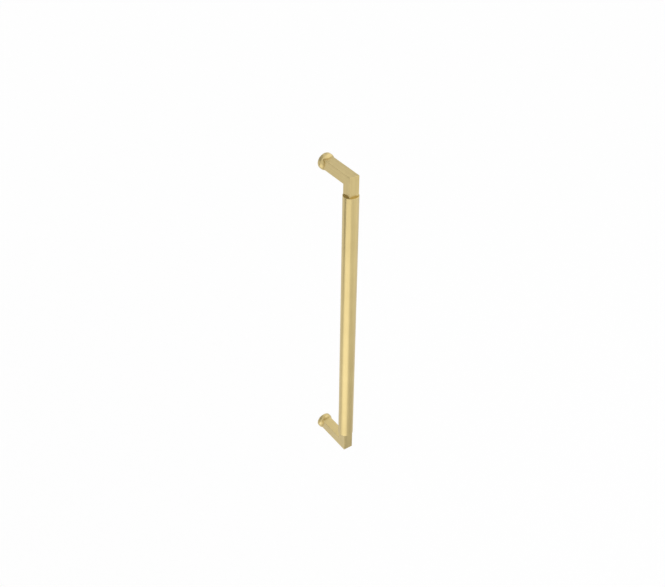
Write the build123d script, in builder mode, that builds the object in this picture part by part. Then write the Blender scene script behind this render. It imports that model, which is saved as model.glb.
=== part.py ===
"""Door pull handle: a round brass grip between two square elbows, each meeting the door at a round rose.

The face of the door is the plane Y = 0, and the handle stands out from it towards -Y. Z runs up along the grip.
The origin lies on the face of the door, halfway between the two fixing holes. Lengths are in millimetres.
"""

import os
from math import atan2, degrees, radians, tan

from build123d import *

# Whole handle
fixing_spacing = 400.0  # between the two fixing holes, which are the centre lines of the arms
projection = 57.0  # face of the door to the front faces of the elbows
leg_length = 25.7  # outer face of an elbow to the end of the grip

# Grip, a solid round bar
grip_diameter = 19.0
grip_edge_chamfer = 0.3

# Elbows, of square bar
square_side = 12.7
elbow_edge_radius = 0.3

# Roses, turned domes that slide onto the arms by a square hole
rose_diameter = 20.5
rose_rim = 2.5  # straight edge, from the door to the start of the dome
rose_dome_rise = 5.2  # start of the dome to its crown, which the arm takes up
rose_shoulder_radius = 3.2  # tight curve of the dome next to the rim

# Fixing holes in the arms, tapped M6 for bolts that come through the door
fixing_hole_diameter = 5.0
fixing_hole_depth = 22.0
fixing_mouth_chamfer = 0.4

# Studs, M6, that join the elbows to the grip
stud_diameter = 6.0
stud_end_chamfer = 0.6
stud_in_leg = 14.0
stud_in_grip = 18.0
stud_bore_spare = 1.5  # depth of a bore beyond the end of its stud

# Every blind hole ends in the cone that a drill leaves
drill_point_angle = 118.0

# Clearances, on the radius or on each side
rose_clearance = 0.03
stud_clearance = 0.05

# Places that the pieces share
arm_height = fixing_spacing / 2  # centre line of the upper arm, its rose and its fixing hole
top = arm_height + square_side / 2
grip_end = top - leg_length  # where the upper leg stands on the grip
grip_y = -projection + square_side / 2  # centre line of the grip and the legs
fixing_hole_radius = fixing_hole_diameter / 2
stud_bore_radius = stud_diameter / 2 + stud_clearance
rose_radius = rose_diameter / 2
rose_height = rose_rim + rose_dome_rise
shoulder_offset = rose_radius - rose_shoulder_radius  # axis of the rose to the centre of the shoulder's curve
crown_radius = (shoulder_offset**2 + rose_dome_rise**2 - rose_shoulder_radius**2) / (
    2 * (rose_dome_rise - rose_shoulder_radius)
)  # wide curve of the dome, which runs smoothly into the shoulder
shoulder_turn = degrees(atan2(crown_radius - rose_dome_rise, shoulder_offset))
rose_hole_side = square_side + 2 * rose_clearance

grip_middle = Plane(origin=(0, grip_y, 0))
upper_joint = Plane(origin=(0, grip_y, grip_end))
lower_joint = Plane(origin=(0, grip_y, -grip_end), z_dir=(0, 0, -1))
upper_fixing = Plane(origin=(0, 0, arm_height), x_dir=(1, 0, 0), z_dir=(0, 1, 0))
rose_section = Plane(origin=(0, 0, arm_height))
arm_axis = Axis((0, 0, arm_height), (0, 1, 0))


def drill_point(mouth: Plane, radius: float, depth: float) -> None:
    """Cut the pointed end of a blind hole whose mouth faces out of the solid."""
    with Locations(-mouth.offset(-depth)):
        Cone(
            radius,
            0,
            radius / tan(radians(drill_point_angle / 2)),
            align=(Align.CENTER, Align.CENTER, Align.MIN),
            mode=Mode.SUBTRACT,
        )


def stud_bore(mouth: Plane, stud_depth: float) -> None:
    """Cut the bore that takes one half of a stud."""
    depth = stud_depth + stud_bore_spare
    with Locations(mouth):
        Hole(stud_bore_radius, depth=depth)
    drill_point(mouth, stud_bore_radius, depth)


def write(piece: BuildPart, name: str) -> None:
    """Label a finished piece and write it to its own file."""
    piece.part.label = name
    export_step(piece.part, f"parts/{name}.step")


# Grip: chamfered at both ends, with a bore up each end for a stud
with BuildPart() as grip_bar:
    with BuildSketch(grip_middle):
        Circle(grip_diameter / 2)
    extrude(amount=grip_end, both=True)
    chamfer(grip_bar.edges().filter_by(GeomType.CIRCLE), grip_edge_chamfer)
    for joint in (upper_joint, lower_joint):
        stud_bore(joint, stud_in_grip)

# Upper elbow: the L of the side view, its outline softened all round except where it butts
with BuildPart() as upper_elbow:
    with BuildSketch(Plane.YZ):
        with BuildLine():
            Polyline(
                (0, top),
                (-projection, top),
                (-projection, grip_end),
                (-projection + square_side, grip_end),
                (-projection + square_side, top - square_side),
                (0, top - square_side),
                close=True,
            )
        make_face()
    extrude(amount=square_side / 2, both=True)
    outer_corner = upper_elbow.edges().filter_by(Axis.X).group_by(Axis.Z)[-1].sort_by(Axis.Y)[0]
    side_outlines = upper_elbow.faces().filter_by(Axis.X).edges()
    along_arm = side_outlines.filter_by(Axis.Y).filter_by_position(Axis.Z, top - square_side, top)
    along_leg = side_outlines.filter_by(Axis.Z).filter_by_position(Axis.Y, -projection, -projection + square_side)
    fillet(along_arm + along_leg + [outer_corner], elbow_edge_radius)
    with Locations(upper_fixing):
        CounterSinkHole(
            fixing_hole_radius,
            fixing_hole_radius + fixing_mouth_chamfer,
            depth=fixing_hole_depth,
            counter_sink_angle=90,
        )
    drill_point(upper_fixing, fixing_hole_radius, fixing_hole_depth)
    stud_bore(-upper_joint, stud_in_leg)

# Upper rose: half its outline turned about the arm, then the square hole that the arm fills
with BuildPart() as upper_rose:
    with BuildSketch(rose_section):
        with BuildLine():
            Polyline((0, -rose_height), (0, 0), (rose_radius, 0), (rose_radius, -rose_rim))
            shoulder = JernArc((rose_radius, -rose_rim), (0, -1), rose_shoulder_radius, -shoulder_turn)
            JernArc(shoulder @ 1, shoulder % 1, crown_radius, shoulder_turn - 90)
        make_face()
    revolve(axis=arm_axis)
    with BuildSketch(upper_fixing):
        RectangleRounded(rose_hole_side, rose_hole_side, elbow_edge_radius)
    extrude(amount=-rose_height, mode=Mode.SUBTRACT)

# Upper stud: half in the leg and half in the grip, with chamfered ends
with BuildPart() as upper_stud:
    with BuildSketch(upper_joint):
        Circle(stud_diameter / 2)
    extrude(amount=stud_in_leg)
    with BuildSketch(-upper_joint):
        Circle(stud_diameter / 2)
    extrude(amount=stud_in_grip)
    chamfer(upper_stud.edges().filter_by(GeomType.CIRCLE), stud_end_chamfer)

# The lower end is the upper end mirrored halfway up the grip
os.makedirs("parts", exist_ok=True)
write(grip_bar, "grip_bar")
for name, upper_piece in (("elbow", upper_elbow), ("rose", upper_rose), ("stud", upper_stud)):
    with BuildPart() as lower_piece:
        mirror(upper_piece.part, about=Plane.XY)
    write(upper_piece, f"upper_{name}")
    write(lower_piece, f"lower_{name}")
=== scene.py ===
"""Dress the door pull handle in satin brass and set it in a pale studio, seen as in the photograph."""

import logging
import math
from abc import ABC, abstractmethod
from collections.abc import Callable, Mapping, Sequence
from dataclasses import dataclass
from enum import Enum
from typing import ClassVar

import bmesh
import bpy
from mathutils import Matrix, Vector


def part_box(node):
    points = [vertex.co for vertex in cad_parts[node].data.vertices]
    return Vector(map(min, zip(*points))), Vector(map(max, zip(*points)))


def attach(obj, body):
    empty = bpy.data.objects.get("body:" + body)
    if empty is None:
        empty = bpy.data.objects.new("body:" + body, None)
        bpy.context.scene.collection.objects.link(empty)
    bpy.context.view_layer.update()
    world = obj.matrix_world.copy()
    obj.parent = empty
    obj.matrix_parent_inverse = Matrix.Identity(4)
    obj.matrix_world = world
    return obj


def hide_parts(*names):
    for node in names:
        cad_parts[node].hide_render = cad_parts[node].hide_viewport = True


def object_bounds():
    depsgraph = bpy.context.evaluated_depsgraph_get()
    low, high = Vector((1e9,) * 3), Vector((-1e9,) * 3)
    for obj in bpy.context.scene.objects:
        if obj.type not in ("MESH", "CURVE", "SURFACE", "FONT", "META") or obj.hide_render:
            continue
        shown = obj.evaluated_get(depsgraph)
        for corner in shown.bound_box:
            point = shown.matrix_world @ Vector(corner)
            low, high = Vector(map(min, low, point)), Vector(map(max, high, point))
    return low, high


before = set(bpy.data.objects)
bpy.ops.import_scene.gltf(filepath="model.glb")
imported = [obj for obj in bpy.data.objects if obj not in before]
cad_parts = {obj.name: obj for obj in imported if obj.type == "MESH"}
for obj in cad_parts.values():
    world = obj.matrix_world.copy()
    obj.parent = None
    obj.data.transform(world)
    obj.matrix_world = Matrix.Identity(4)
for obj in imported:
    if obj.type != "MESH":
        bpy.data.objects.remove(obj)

LOG = logging.getLogger("door_pull")
CAD_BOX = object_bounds()
BODY = "root"

# Centre line of the upper arm, in metres like every length here
ARM_HEIGHT = (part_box("upper_rose")[0].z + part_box("upper_rose")[1].z) / 2

FULL_TURN = math.tau
QUARTER_TURN = FULL_TURN / 4
DRILL_ANGLE = math.radians(118)
SHARP_EDGE = math.radians(35)

# Distances within which points are one, lie on a cut, or lie on a plane of the piece
MERGE_DISTANCE = 1e-6
CUT_DISTANCE = MERGE_DISTANCE / 10
NEAR = 1e-5

# Part of an edge's direction that lies along an axis, past which the edge counts as parallel to it
PARALLEL = 0.99

# Watts for a square metre of a lamp that adds as much light as the white room gives
WATTS_PER_GLOW = 4.0

Colour = tuple[float, float, float, float]
WHITE: Colour = (1.0, 1.0, 1.0, 1.0)


class Grain(Enum):
    """Which way the fine lines of a surface run."""

    UP = "up"
    BACK = "back"
    ROUND = "round"


class End(Enum):
    """The two ends of the handle, each with the sign of its height."""

    UPPER = 1
    LOWER = -1

    @property
    def label(self) -> str:
        """The word that starts the names of this end's pieces."""
        return self.name.lower()


class ShaderBoard:
    """A shader node tree that is filled node by node."""

    def __init__(self, tree: bpy.types.NodeTree) -> None:
        """Start on a tree, with nothing on it.

        Args:
            tree: The node tree of a material, a world or a group.
        """
        self.tree = tree
        tree.nodes.clear()

    def add(self, kind: str, inputs: Mapping[str | int, object] | None = None,
            **settings: object) -> bpy.types.Node:
        """Place one node.

        Args:
            kind: The node's type, without the word ShaderNode where it starts with that.
            inputs: Socket name or number to a value, or to an output socket that is linked to it.
            settings: The node's own properties.

        Returns:
            The new node.
        """
        node = self.tree.nodes.new(kind if kind.startswith("NodeGroup") else f"ShaderNode{kind}")
        for name, value in settings.items():
            setattr(node, name, value)
        for name, value in (inputs or {}).items():
            if isinstance(value, bpy.types.NodeSocket):
                self.tree.links.new(value, node.inputs[name])
            else:
                node.inputs[name].default_value = value
        return node

    def math(self, operation: str, *values: float | bpy.types.NodeSocket) -> bpy.types.NodeSocket:
        """Place a Math node.

        Args:
            operation: The node's operation, such as "MULTIPLY".
            values: Its inputs in order, numbers or output sockets.

        Returns:
            The node's output.
        """
        return self.add("Math", dict(enumerate(values)), operation=operation).outputs[0]

    def remap(self, value: bpy.types.NodeSocket, low: float, high: float) -> bpy.types.NodeSocket:
        """Stretch a value from 0 to 1 over another range.

        Args:
            value: The output to read.
            low: What 0 becomes.
            high: What 1 becomes.

        Returns:
            The stretched value.
        """
        node = self.add("MapRange", {"Value": value, "To Min": low, "To Max": high})
        return node.outputs["Result"]


@dataclass(frozen=True)
class BrushedGrain:
    """The marks of a brushing belt: hair lines, wider streaks and soft clouds of tone.

    Its vector has the direction of brushing as Z, in metres. The scales are in marks to the metre, and a
    stretch is the part of a scale that is left along the brushing. The noise fills the range from noise_low
    to noise_high, which is opened out to 0 and 1.
    """

    name: str = "brushed grain"
    line_scale: float = 5200.0
    line_stretch: float = 0.006
    line_detail: float = 3.0
    streak_scale: float = 600.0
    streak_stretch: float = 0.012
    streak_detail: float = 2.0
    cloud_scale: float = 45.0
    cloud_stretch: float = 1.0
    cloud_detail: float = 2.0
    noise_low: float = 0.3
    noise_high: float = 0.7

    def group(self) -> bpy.types.NodeTree:
        """Build the shader group, or find it if it is built.

        Returns:
            The group, with a Vector input and the outputs Lines, Streaks and Clouds, each from 0 to 1.
        """
        found = bpy.data.node_groups.get(self.name)
        if found:
            return found
        marks = {
            "Lines": (self.line_scale, self.line_stretch, self.line_detail),
            "Streaks": (self.streak_scale, self.streak_stretch, self.streak_detail),
            "Clouds": (self.cloud_scale, self.cloud_stretch, self.cloud_detail),
        }
        tree = bpy.data.node_groups.new(self.name, "ShaderNodeTree")
        board = ShaderBoard(tree)
        tree.interface.new_socket("Vector", in_out="INPUT", socket_type="NodeSocketVector")
        for output in marks:
            tree.interface.new_socket(output, in_out="OUTPUT", socket_type="NodeSocketFloat")
        source = board.add("NodeGroupInput").outputs["Vector"]
        result = board.add("NodeGroupOutput")
        for output, (scale, stretch, detail) in marks.items():
            placed = board.add("Mapping", {"Vector": source, "Scale": (scale, scale, scale * stretch)})
            noise = board.add("TexNoise", {"Vector": placed.outputs[0], "Scale": 1.0, "Detail": detail})
            full = board.add("MapRange", {
                "Value": noise.outputs["Fac"], "From Min": self.noise_low, "From Max": self.noise_high})
            tree.links.new(full.outputs["Result"], result.inputs[output])
        return tree


@dataclass(frozen=True)
class BrushedMetal:
    """A bare metal finish, brushed or turned to a satin.

    The shares say how much of the tone, and of the satin's roughness, each kind of mark makes.
    """

    name: str
    light_tone: Colour
    deep_tone: Colour
    smoothest: float
    roughest: float
    line_depth: float
    line_share: float = 0.3
    streak_share: float = 0.45
    cloud_share: float = 0.25
    satin_line_share: float = 0.5
    satin_streak_share: float = 0.5
    marks: BrushedGrain = BrushedGrain()

    def material(self, grain: Grain) -> bpy.types.Material:
        """Build the finish with its lines running one way, or find it if it is built.

        Args:
            grain: Which way the lines run.

        Returns:
            The material.
        """
        name = f"{self.name} {grain.value}"
        found = bpy.data.materials.get(name)
        if found:
            return found
        material = bpy.data.materials.new(name)
        material.use_nodes = True
        board = ShaderBoard(material.node_tree)
        marks = board.add("Group", {"Vector": self.along(board, grain)}, node_tree=self.marks.group())
        lines, streaks, clouds = (marks.outputs[n] for n in ("Lines", "Streaks", "Clouds"))
        tone = board.math("MULTIPLY", lines, self.line_share)
        tone = board.math("MULTIPLY_ADD", streaks, self.streak_share, tone)
        tone = board.math("MULTIPLY_ADD", clouds, self.cloud_share, tone)
        tones = {"Factor": tone, "A": self.deep_tone, "B": self.light_tone}
        colour = board.add("Mix", tones, data_type="RGBA")
        satin = board.math("MULTIPLY", streaks, self.satin_streak_share)
        satin = board.math("MULTIPLY_ADD", lines, self.satin_line_share, satin)
        bump = board.add("Bump", {"Height": lines, "Strength": 1.0, "Distance": self.line_depth})
        shader = board.add(
            "BsdfPrincipled",
            {
                "Base Color": colour.outputs["Result"],
                "Roughness": board.remap(satin, self.smoothest, self.roughest),
                "Normal": bump.outputs["Normal"],
                "Metallic": 1.0,
            },
        )
        board.add("OutputMaterial", {"Surface": shader.outputs["BSDF"]})
        LOG.info("finish %s", name)
        return material

    @staticmethod
    def along(board: ShaderBoard, grain: Grain) -> bpy.types.NodeSocket:
        """Turn Object coordinates so that the lines run along Z.

        Args:
            board: The material's board.
            grain: Which way the lines run.

        Returns:
            The turned coordinates. Round an arm, they are the distance from its axis and the place along it.
        """
        place = board.add("TexCoord").outputs["Object"]
        if grain is Grain.UP:
            return place
        if grain is Grain.BACK:
            return board.add("Mapping", {"Vector": place, "Rotation": (QUARTER_TURN, 0.0, 0.0)}).outputs[0]
        parts = board.add("SeparateXYZ", {0: place}).outputs
        height = board.math("SUBTRACT", board.math("ABSOLUTE", parts["Z"]), ARM_HEIGHT)
        squares = board.math("MULTIPLY_ADD", parts["X"], parts["X"], board.math("MULTIPLY", height, height))
        return board.add("CombineXYZ", {"X": board.math("SQRT", squares), "Y": parts["Y"]}).outputs[0]


BRASS = BrushedMetal(
    name="satin brass",
    light_tone=(0.665, 0.539, 0.259, 1.0),
    deep_tone=(0.53, 0.417, 0.187, 1.0),
    smoothest=0.26,
    roughest=0.42,
    line_depth=2.4e-6,
)
STEEL = BrushedMetal(
    name="plated steel",
    light_tone=(0.60, 0.60, 0.59, 1.0),
    deep_tone=(0.50, 0.50, 0.50, 1.0),
    smoothest=0.22,
    roughest=0.40,
    line_depth=1.6e-6,
)


def spin_outline(bm: bmesh.types.BMesh, points: Sequence[Vector], centre: Vector, axis: Vector,
                 steps: int) -> None:
    """Turn an outline into a solid of revolution, as on a lathe.

    Args:
        bm: The mesh that gets the faces.
        points: The outline's corners in order.
        centre: A point on the lathe's axis.
        axis: The direction of that axis.
        steps: How many flats go round.
    """
    verts = [bm.verts.new(p) for p in points]
    edges = [bm.edges.new(pair) for pair in zip(verts, verts[1:])]
    bmesh.ops.spin(bm, geom=verts + edges, cent=centre, axis=axis, angle=FULL_TURN, steps=steps,
                   use_merge=True)
    bmesh.ops.remove_doubles(bm, verts=bm.verts, dist=MERGE_DISTANCE)


def drill_point(radius: float) -> float:
    """The depth of the cone that a drill leaves at the end of a hole."""
    return radius / math.tan(DRILL_ANGLE / 2)


def round_edges(bm: bmesh.types.BMesh, edges: Sequence[bmesh.types.BMEdge], width: float,
                segments: int) -> None:
    """Break or round a set of edges.

    Args:
        bm: The mesh.
        edges: The edges to break.
        width: How far the break runs in from the edge.
        segments: 1 for a chamfer, more for a round.
    """
    bmesh.ops.bevel(bm, geom=list(edges), offset=width, offset_type="OFFSET", segments=segments,
                    profile=0.5, affect="EDGES", material=-1)


class Piece(ABC):
    """A brass mesh that stands for one CAD node, brushed in one direction or more."""

    node: str
    grains: ClassVar[tuple[Grain, ...]]

    @abstractmethod
    def shape(self, bm: bmesh.types.BMesh) -> None:
        """Model the piece where it stands on the handle."""

    def grain_of(self, face: bmesh.types.BMFace) -> Grain:
        """Which way a face is brushed."""
        return self.grains[0]

    def build(self) -> bpy.types.Object:
        """Model, dress and place the piece.

        Returns:
            The piece's object, riding on the handle's body in place of its CAD node.
        """
        bm = bmesh.new()
        self.shape(bm)
        bmesh.ops.remove_doubles(bm, verts=bm.verts, dist=MERGE_DISTANCE)
        bmesh.ops.recalc_face_normals(bm, faces=bm.faces)
        for face in bm.faces:
            face.smooth = True
            face.material_index = self.grains.index(self.grain_of(face))
        mesh = bpy.data.meshes.new(f"dressed_{self.node}")
        bm.to_mesh(mesh)
        bm.free()
        mesh.set_sharp_from_angle(angle=SHARP_EDGE)
        for grain in self.grains:
            mesh.materials.append(BRASS.material(grain))
        piece = bpy.data.objects.new(f"dressed_{self.node}", mesh)
        bpy.context.scene.collection.objects.link(piece)
        even = piece.modifiers.new("flat faces stay flat", "WEIGHTED_NORMAL")
        even.mode = "FACE_AREA_WITH_ANGLE"
        even.keep_sharp = True
        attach(piece, BODY)
        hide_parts(self.node)
        return piece


@dataclass
class GripBar(Piece):
    """The round bar that the hand closes on, brushed along its length."""

    grains: ClassVar[tuple[Grain, ...]] = (Grain.UP,)

    node: str = "grip_bar"
    edge_break: float = 0.0003
    bore_radius: float = 0.00305
    bore_depth: float = 0.0195
    flats: int = 128
    rings: int = 48

    def shape(self, bm: bmesh.types.BMesh) -> None:
        """Turn the bar with a blind bore up each end, and break the edges of its ends.

        Args:
            bm: The mesh to model in.
        """
        low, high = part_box(self.node)
        middle = (low + high) / 2
        radius = (high.x - low.x) / 2
        end = high.z
        half = [
            (0.0, end - self.bore_depth - drill_point(self.bore_radius)),
            (self.bore_radius, end - self.bore_depth),
            (self.bore_radius, end),
            (radius, end),
        ]
        outline = half + [(r, -z) for r, z in reversed(half)]
        points = [Vector((r, middle.y, z)) for r, z in outline]
        spin_outline(bm, points, middle, Vector((0, 0, 1)), self.flats)
        long_edges = [e for e in bm.edges if e.calc_length() > end]
        bmesh.ops.subdivide_edges(bm, edges=long_edges, cuts=self.rings, use_grid_fill=True)
        rims = [e for e in bm.edges if all(self.on_rim(v.co - middle, radius, end) for v in e.verts)]
        round_edges(bm, rims, self.edge_break, 1)

    @staticmethod
    def on_rim(offset: Vector, radius: float, end: float) -> bool:
        """Whether a corner lies on the outer edge of an end of the bar."""
        return abs(offset.xy.length - radius) < NEAR and abs(abs(offset.z) - end) < NEAR


@dataclass
class Elbow(Piece):
    """A square bar that turns from the grip back to the door, tapped in its end for the fixing bolt.

    The arm and the leg are each brushed along their own length. Half the width of the thread's ridge is
    given in pitches, at its root and at its crest.
    """

    grains: ClassVar[tuple[Grain, ...]] = (Grain.BACK, Grain.UP, Grain.ROUND)

    end: End
    edge_radius: float = 0.0003
    edge_segments: int = 4
    hole_depth: float = 0.022
    mouth_break: float = 0.0004
    thread_outer: float = 0.003
    thread_inner: float = 0.0025
    thread_pitch: float = 0.001
    thread_half_root: float = 0.44
    thread_half_crest: float = 0.1
    thread_turns: int = 18
    thread_steps: int = 36
    stud_bore_radius: float = 0.00305
    stud_bore_depth: float = 0.0155
    flats: int = 64

    def __post_init__(self) -> None:
        """Name the node, and take the bar's sizes from the upper elbow."""
        self.node = f"{self.end.label}_elbow"
        self.low, self.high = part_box("upper_elbow")
        self.side = self.high.x - self.low.x
        self.arm_back = self.high.y
        self.leg_y = self.low.y + self.side / 2

    def shape(self, bm: bmesh.types.BMesh) -> None:
        """Model the upper elbow, and turn it over for the lower end.

        Args:
            bm: The mesh to model in.
        """
        self.shape_bar(bm)
        self.shape_fixing_hole(bm)
        self.shape_stud_bore(bm)
        self.shape_thread(bm)
        bmesh.ops.scale(bm, vec=(1.0, 1.0, float(self.end.value)), verts=bm.verts)

    def shape_bar(self, bm: bmesh.types.BMesh) -> None:
        """Model the arm and the leg, mitred at the corner, with softened edges.

        Args:
            bm: The mesh to model in.
        """
        front, top, under = self.low.y, self.high.z, self.high.z - self.side
        back_of_leg, foot = self.low.y + self.side, self.low.z
        corners = {
            "arm_top": (self.arm_back, top),
            "outer": (front, top),
            "foot_front": (front, foot),
            "foot_back": (back_of_leg, foot),
            "inner": (back_of_leg, under),
            "arm_under": (self.arm_back, under),
        }
        verts = {n: bm.verts.new((self.low.x, y, z)) for n, (y, z) in corners.items()}
        arm = ("arm_top", "outer", "inner", "arm_under")
        leg = ("outer", "foot_front", "foot_back", "inner")
        for loop in (arm, leg):
            bm.faces.new([verts[n] for n in loop])
        region = bmesh.ops.extrude_face_region(bm, geom=bm.faces[:], use_keep_orig=True)
        moved = [v for v in region["geom"] if isinstance(v, bmesh.types.BMVert)]
        bmesh.ops.translate(bm, vec=(self.side, 0, 0), verts=moved)
        bmesh.ops.recalc_face_normals(bm, faces=bm.faces)
        softened = [e for e in bm.edges if self.is_softened(e)]
        round_edges(bm, softened, self.edge_radius, self.edge_segments)

    def is_softened(self, edge: bmesh.types.BMEdge) -> bool:
        """Say whether an edge of the square bar is softened.

        Args:
            edge: An edge of the bar, before any is softened.

        Returns:
            True for the outer corner and for the edges that run along the arm or the leg.
        """
        middle = (edge.verts[0].co + edge.verts[1].co) / 2
        along = (edge.verts[1].co - edge.verts[0].co).normalized()
        if abs(along.x) > PARALLEL:
            return abs(middle.y - self.low.y) < NEAR and abs(middle.z - self.high.z) < NEAR
        butts = abs(middle.y - self.arm_back) < NEAR or abs(middle.z - self.low.z) < NEAR
        return not butts and max(abs(along.y), abs(along.z)) > PARALLEL

    def bore_end(self, bm: bmesh.types.BMesh, on_end: Callable[[Vector], bool],
                 outline: Sequence[Vector], centre: Vector, axis: Vector) -> None:
        """Cut a turned hole into a flat end of the bar.

        Args:
            bm: The mesh.
            on_end: Whether a point lies on the plane of the end.
            outline: The hole's outline, from its mouth to the axis.
            centre: A point on the axis.
            axis: The axis of the hole.
        """
        face = next(f for f in bm.faces if all(on_end(v.co) for v in f.verts))
        square = list(face.edges)
        bmesh.ops.delete(bm, geom=[face], context="FACES_ONLY")
        before = set(bm.edges)
        spin_outline(bm, outline, centre, axis, self.flats)
        mouth = [e for e in bm.edges if e not in before and e.is_boundary]
        bmesh.ops.triangle_fill(bm, use_beauty=True, use_dissolve=False, edges=square + mouth, normal=axis)

    def shape_fixing_hole(self, bm: bmesh.types.BMesh) -> None:
        """Drill the end of the arm for the bolt that comes through the door.

        Args:
            bm: The mesh of the bar.
        """
        centre = Vector((0, self.arm_back, ARM_HEIGHT))
        steps = [
            (self.thread_outer + self.mouth_break, 0.0),
            (self.thread_outer, -self.mouth_break),
            (self.thread_outer, -self.hole_depth),
            (0.0, -self.hole_depth - drill_point(self.thread_outer)),
        ]
        outline = [centre + Vector((r, y, 0)) for r, y in steps]
        self.bore_end(bm, lambda p: abs(p.y - self.arm_back) < NEAR, outline, centre, Vector((0, 1, 0)))

    def shape_stud_bore(self, bm: bmesh.types.BMesh) -> None:
        """Bore the foot of the leg for the stud.

        Args:
            bm: The mesh of the bar.
        """
        foot = Vector((0, self.leg_y, self.low.z))
        steps = [
            (self.stud_bore_radius, 0.0),
            (self.stud_bore_radius, self.stud_bore_depth),
            (0.0, self.stud_bore_depth + drill_point(self.stud_bore_radius)),
        ]
        outline = [foot + Vector((r, 0, z)) for r, z in steps]
        self.bore_end(bm, lambda p: abs(p.z - self.low.z) < NEAR, outline, foot, Vector((0, 0, 1)))

    def shape_thread(self, bm: bmesh.types.BMesh) -> None:
        """Wind the thread of the fixing hole, a flat-topped ridge on the wall of the hole.

        Args:
            bm: The mesh of the bar.
        """
        half_root = self.thread_half_root * self.thread_pitch
        half_crest = self.thread_half_crest * self.thread_pitch
        start = self.arm_back - self.mouth_break - self.thread_pitch
        root = self.thread_outer + NEAR
        section = [
            (root, half_root),
            (self.thread_inner, half_crest),
            (self.thread_inner, -half_crest),
            (root, -half_root),
        ]
        verts = [bm.verts.new((r, start + y, ARM_HEIGHT)) for r, y in section]
        edges = [bm.edges.new((verts[i], verts[i - 1])) for i in range(len(verts))]
        before = set(bm.edges)
        step = Vector((0, -self.thread_pitch / self.thread_steps, 0))
        bmesh.ops.spin(bm, geom=verts + edges, cent=(0, 0, ARM_HEIGHT), axis=(0, 1, 0), dvec=step,
                       angle=FULL_TURN * self.thread_turns, steps=self.thread_steps * self.thread_turns)
        ends = edges + [e for e in bm.edges if e not in before and e.is_boundary]
        bmesh.ops.holes_fill(bm, edges=ends)

    def grain_of(self, face: bmesh.types.BMFace) -> Grain:
        """Say which way a face is brushed.

        Args:
            face: A face of the elbow.

        Returns:
            Along the arm or along the leg, as far as the mitre between them, or turned at the tapped end.
        """
        middle = face.calc_center_median()
        height = abs(middle.z)
        in_hole = math.hypot(middle.x, height - ARM_HEIGHT) < self.thread_outer + NEAR
        if in_hole or middle.y > self.arm_back - NEAR:
            return Grain.ROUND
        on_arm = middle.y - self.low.y > self.high.z - height
        return Grain.BACK if on_arm else Grain.UP


@dataclass
class Rose(Piece):
    """The turned dome that covers the hole in the door, with a square hole for the arm."""

    grains: ClassVar[tuple[Grain, ...]] = (Grain.ROUND,)

    end: End
    rim: float = 0.0025
    dome_rise: float = 0.0052
    shoulder_radius: float = 0.0032
    hole_clearance: float = 0.00003
    dome_rings: int = 12
    flats: int = 128

    def __post_init__(self) -> None:
        """Name the node that the dome stands for, and take its place and the arm's width from the CAD."""
        self.node = f"{self.end.label}_rose"
        low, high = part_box(self.node)
        self.centre = Vector((0, high.y, (low.z + high.z) / 2))
        self.radius = (high.x - low.x) / 2
        self.hole_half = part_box("upper_elbow")[1].x + self.hole_clearance

    def shape(self, bm: bmesh.types.BMesh) -> None:
        """Turn the dome, then cut the square hole through it.

        Args:
            bm: The mesh to model in.
        """
        self.draw_section(bm)
        bmesh.ops.spin(bm, geom=bm.verts[:] + bm.edges[:], cent=self.centre, axis=(0, 1, 0),
                       angle=FULL_TURN, steps=self.flats, use_merge=True)
        bmesh.ops.remove_doubles(bm, verts=bm.verts, dist=MERGE_DISTANCE)
        self.cut_hole(bm)

    def draw_section(self, bm: bmesh.types.BMesh) -> None:
        """Draw half the section of the dome.

        The shoulder's tight curve runs into the crown's wide one, and the rim and the back close the section.

        Args:
            bm: The mesh to draw in.
        """
        offset = self.radius - self.shoulder_radius
        crown_radius = (offset ** 2 + self.dome_rise ** 2 - self.shoulder_radius ** 2) / (
            2 * (self.dome_rise - self.shoulder_radius))
        turn = math.atan2(crown_radius - self.dome_rise, offset)
        spring = self.centre + Vector((0, -self.rim, 0))
        shoulder_centre = spring + Vector((offset, 0, 0))
        crown_centre = spring + Vector((0, crown_radius - self.dome_rise, 0))
        edge_of_dome = bm.verts.new(spring + Vector((self.radius, 0, 0)))
        shoulder = bmesh.ops.spin(bm, geom=[edge_of_dome], cent=shoulder_centre, axis=(0, 0, -1),
                                  angle=turn, steps=self.dome_rings)
        bmesh.ops.spin(bm, geom=shoulder["geom_last"], cent=crown_centre, axis=(0, 0, -1),
                       angle=QUARTER_TURN - turn, steps=self.dome_rings)
        rim = bm.verts.new(self.centre + Vector((self.radius, 0, 0)))
        middle = bm.verts.new(self.centre)
        bm.edges.new((edge_of_dome, rim))
        bm.edges.new((rim, middle))

    def cut_hole(self, bm: bmesh.types.BMesh) -> None:
        """Cut the dome along the four sides of the arm, take the middle out and wall the hole.

        Args:
            bm: The mesh of the dome.
        """
        for side in (Vector((1, 0, 0)), Vector((-1, 0, 0)), Vector((0, 0, 1)), Vector((0, 0, -1))):
            bmesh.ops.bisect_plane(bm, geom=bm.verts[:] + bm.edges[:] + bm.faces[:], dist=CUT_DISTANCE,
                                   plane_co=self.centre + side * self.hole_half, plane_no=side)
        inside = [f for f in bm.faces if self.in_hole(f.calc_center_median() - self.centre)]
        bmesh.ops.delete(bm, geom=inside, context="FACES")
        bmesh.ops.bridge_loops(bm, edges=[e for e in bm.edges if e.is_boundary])

    def in_hole(self, offset: Vector) -> bool:
        """Whether a point, from the rose's centre, lies within the square hole."""
        return max(abs(offset.x), abs(offset.z)) < self.hole_half


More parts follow.
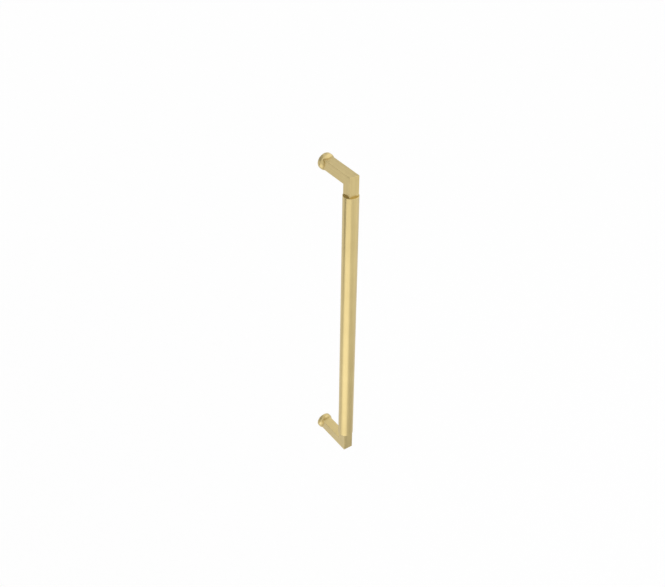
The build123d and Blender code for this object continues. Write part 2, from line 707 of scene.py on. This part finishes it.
@dataclass
class EndFitting:
    """What carries one end of the grip: an elbow, its rose and the stud inside."""

    end: End

    def build(self) -> list[bpy.types.Object]:
        """Build the elbow and the rose, and dress the stud, whose CAD shape stays.

        Returns:
            The three pieces' objects.
        """
        elbow = Elbow(end=self.end).build()
        rose = Rose(end=self.end).build()
        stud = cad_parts[f"{self.end.label}_stud"]
        stud.data.materials.clear()
        stud.data.materials.append(STEEL.material(Grain.UP))
        return [elbow, rose, stud]


def direction(azimuth_deg: float, elevation_deg: float) -> Vector:
    """Find the way from the handle to something seen at an angle.

    Args:
        azimuth_deg: 0 straight in front of the door, growing to the right.
        elevation_deg: Height above the horizon.

    Returns:
        A unit vector.
    """
    a, e = math.radians(azimuth_deg), math.radians(elevation_deg)
    return Vector((math.sin(a) * math.cos(e), -math.cos(a) * math.cos(e), math.sin(e)))


@dataclass(frozen=True)
class StudioPanel(ABC):
    """A rectangle that hangs in the studio, out of the picture, and faces the handle's middle."""

    name: str
    azimuth_deg: float
    elevation_deg: float
    distance: float
    width: float
    height: float

    @abstractmethod
    def make(self) -> bpy.types.Object:
        """Make the panel where it hangs."""

    def place(self) -> Matrix:
        """The panel's place, with its front towards the handle."""
        away = direction(self.azimuth_deg, self.elevation_deg)
        return Matrix.Translation(away * self.distance) @ away.to_track_quat("Z", "Y").to_matrix().to_4x4()

    def hang(self) -> None:
        """Hang the panel where the metal mirrors it and the camera doesn't see it."""
        panel = self.make()
        panel.visible_camera = False
        bpy.context.scene.collection.objects.link(panel)
        LOG.info("studio %s", self.name)


@dataclass(frozen=True)
class SoftBox(StudioPanel):
    """A lamp with a diffusing front.

    Its glow adds to the white behind it, and is 1 where it adds as much light as the white itself gives.
    """

    glow: float

    def make(self) -> bpy.types.Object:
        """Make the lamp.

        Returns:
            The lamp's object.
        """
        lamp = bpy.data.lights.new(self.name, "AREA")
        lamp.shape = "RECTANGLE"
        lamp.size, lamp.size_y = self.width, self.height
        lamp.energy = self.glow * WATTS_PER_GLOW * self.width * self.height
        box = bpy.data.objects.new(self.name, lamp)
        box.matrix_world = self.place()
        return box


@dataclass(frozen=True)
class GreyCard(StudioPanel):
    """A matt grey card, which the metal mirrors as a shade."""

    tone: float

    def make(self) -> bpy.types.Object:
        """Cut the card and paint it.

        Returns:
            The card's object.
        """
        bm = bmesh.new()
        bmesh.ops.create_grid(bm, x_segments=1, y_segments=1, size=1.0)
        bmesh.ops.scale(bm, vec=(self.width / 2, self.height / 2, 1.0), verts=bm.verts)
        bmesh.ops.transform(bm, matrix=self.place(), verts=bm.verts)
        mesh = bpy.data.meshes.new(self.name)
        bm.to_mesh(mesh)
        bm.free()
        paint = bpy.data.materials.new(f"{self.name} paint")
        paint.use_nodes = True
        board = ShaderBoard(paint.node_tree)
        matt = board.add("BsdfDiffuse", {"Color": (self.tone, self.tone, self.tone, 1.0)})
        board.add("OutputMaterial", {"Surface": matt.outputs[0]})
        mesh.materials.append(paint)
        card = bpy.data.objects.new(self.name, mesh)
        return card


@dataclass(frozen=True)
class PhotoCamera:
    """The camera of the photograph, worked out from the handle's outline."""

    azimuth_deg: float = -34.854
    elevation_deg: float = 36.577
    roll_deg: float = 0.619
    distance: float = 1.15105
    target_x: float = -0.02781
    target_z: float = 0.06069
    focal_px: float = 994.54
    image_width_px: float = 665.0
    sensor_mm: float = 36.0

    def set_up(self) -> None:
        """Put the camera where the photograph was taken from."""
        back = direction(self.azimuth_deg, self.elevation_deg)
        a, r = math.radians(self.azimuth_deg), math.radians(self.roll_deg)
        level = Vector((math.cos(a), math.sin(a), 0.0))
        upright = back.cross(level)
        right = math.cos(r) * level + math.sin(r) * upright
        up = math.cos(r) * upright - math.sin(r) * level
        target = Vector((self.target_x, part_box("upper_elbow")[0].y, self.target_z))
        lens = bpy.data.cameras.new("photo_camera")
        lens.sensor_fit = "HORIZONTAL"
        lens.sensor_width = self.sensor_mm
        lens.lens = self.focal_px * self.sensor_mm / self.image_width_px
        camera = bpy.data.objects.new("photo_camera", lens)
        turn = Matrix((right, up, back)).transposed().to_4x4()
        camera.matrix_world = Matrix.Translation(target + back * self.distance) @ turn
        bpy.context.scene.collection.objects.link(camera)
        bpy.context.scene.camera = camera


@dataclass(frozen=True)
class Studio:
    """The pale floor, the even white room, and the lamps and cards that the metal mirrors."""

    floor_drop: float = 0.9
    floor_size: float = 14.0
    floor_cells: int = 8
    floor_tone: Colour = (0.92, 0.92, 0.92, 1.0)
    floor_white: float = 0.9
    room_white: float = 1.0

    # Name, azimuth and elevation in degrees, distance, width and height in metres, glow
    lamps: tuple[SoftBox, ...] = (
        SoftBox("front_left_box", -61.0, -40.0, 1.2, 1.4, 0.65, 0.62),
        SoftBox("right_box", 38.0, -25.0, 1.2, 1.4, 0.4, 0.165),
        SoftBox("high_right_box", 60.0, 38.0, 1.5, 3.0, 1.5, 0.31),
        SoftBox("back_left_box", -143.0, -19.0, 0.49, 0.3, 0.3, 0.075),
        SoftBox("back_right_box", 143.0, 19.0, 0.49, 0.3, 0.3, 0.16),
    )

    # The same for the cards, with their tone in place of a glow
    cards: tuple[GreyCard, ...] = (
        GreyCard("low_right_card", 36.0, -56.0, 1.15, 1.0, 0.5, 0.66),
        GreyCard("left_card", -111.0, -20.0, 1.2, 0.42, 0.45, 0.12),
        GreyCard("high_left_card", -120.0, 35.0, 1.5, 2.5, 1.7, 0.55),
        GreyCard("high_back_card", 143.0, 50.7, 0.72, 0.3, 0.3, 0.9),
    )

    def set_up(self) -> None:
        """Lay the floor, light the room, and hang the lamps and the cards."""
        self.lay_floor()
        self.light_room()
        for panel in self.lamps + self.cards:
            panel.hang()
        bpy.context.scene.view_settings.view_transform = "Standard"

    @staticmethod
    def seen_white(board: ShaderBoard) -> bpy.types.NodeSocket:
        """Tell the rays that see the floor as a white background from those that light it.

        Args:
            board: The floor material's board.

        Returns:
            1 for the camera's own rays and for mirrored and transmitted ones, else 0.
        """
        rays = board.add("LightPath").outputs
        mirrored = board.math("MAXIMUM", rays["Is Glossy Ray"], rays["Is Transmission Ray"])
        return board.math("MAXIMUM", rays["Is Camera Ray"], mirrored)

    def lay_floor(self) -> None:
        """Lay a plain pale floor well below the handle."""
        bm = bmesh.new()
        bmesh.ops.create_grid(bm, x_segments=self.floor_cells, y_segments=self.floor_cells,
                              size=self.floor_size / 2)
        bmesh.ops.translate(bm, vec=(0, 0, CAD_BOX[0].z - self.floor_drop), verts=bm.verts)
        mesh = bpy.data.meshes.new("floor")
        bm.to_mesh(mesh)
        bm.free()
        material = bpy.data.materials.new("pale floor")
        material.use_nodes = True
        board = ShaderBoard(material.node_tree)
        matt = board.add("BsdfDiffuse", {"Color": self.floor_tone})
        white = board.add("Emission", {"Color": WHITE, "Strength": 1.0})
        share = board.math("MULTIPLY", self.seen_white(board), self.floor_white)
        mixed = board.add("MixShader", {0: share, 1: matt.outputs[0], 2: white.outputs[0]})
        board.add("OutputMaterial", {"Surface": mixed.outputs[0]})
        mesh.materials.append(material)
        floor = bpy.data.objects.new("floor", mesh)
        bpy.context.scene.collection.objects.link(floor)

    def light_room(self) -> None:
        """Fill the room with even white light."""
        world = bpy.data.worlds.new("studio")
        bpy.context.scene.world = world
        world.use_nodes = True
        board = ShaderBoard(world.node_tree)
        white = board.add("Background", {"Color": WHITE, "Strength": self.room_white})
        board.add("OutputWorld", {"Surface": white.outputs[0]})


def report(pieces: Sequence[bpy.types.Object]) -> None:
    """Tell the log the name and the number of faces of each piece."""
    for piece in pieces:
        LOG.info("piece %s: %d faces", piece.name, len(piece.data.polygons))


def main() -> None:
    """Build the handle piece by piece, then the studio round it."""
    logging.basicConfig(level=logging.INFO, format="%(name)s: %(message)s")
    report([GripBar().build()])
    for end in End:
        report(EndFitting(end).build())
    PhotoCamera().set_up()
    Studio().set_up()


if __name__ == "__main__":
    main()
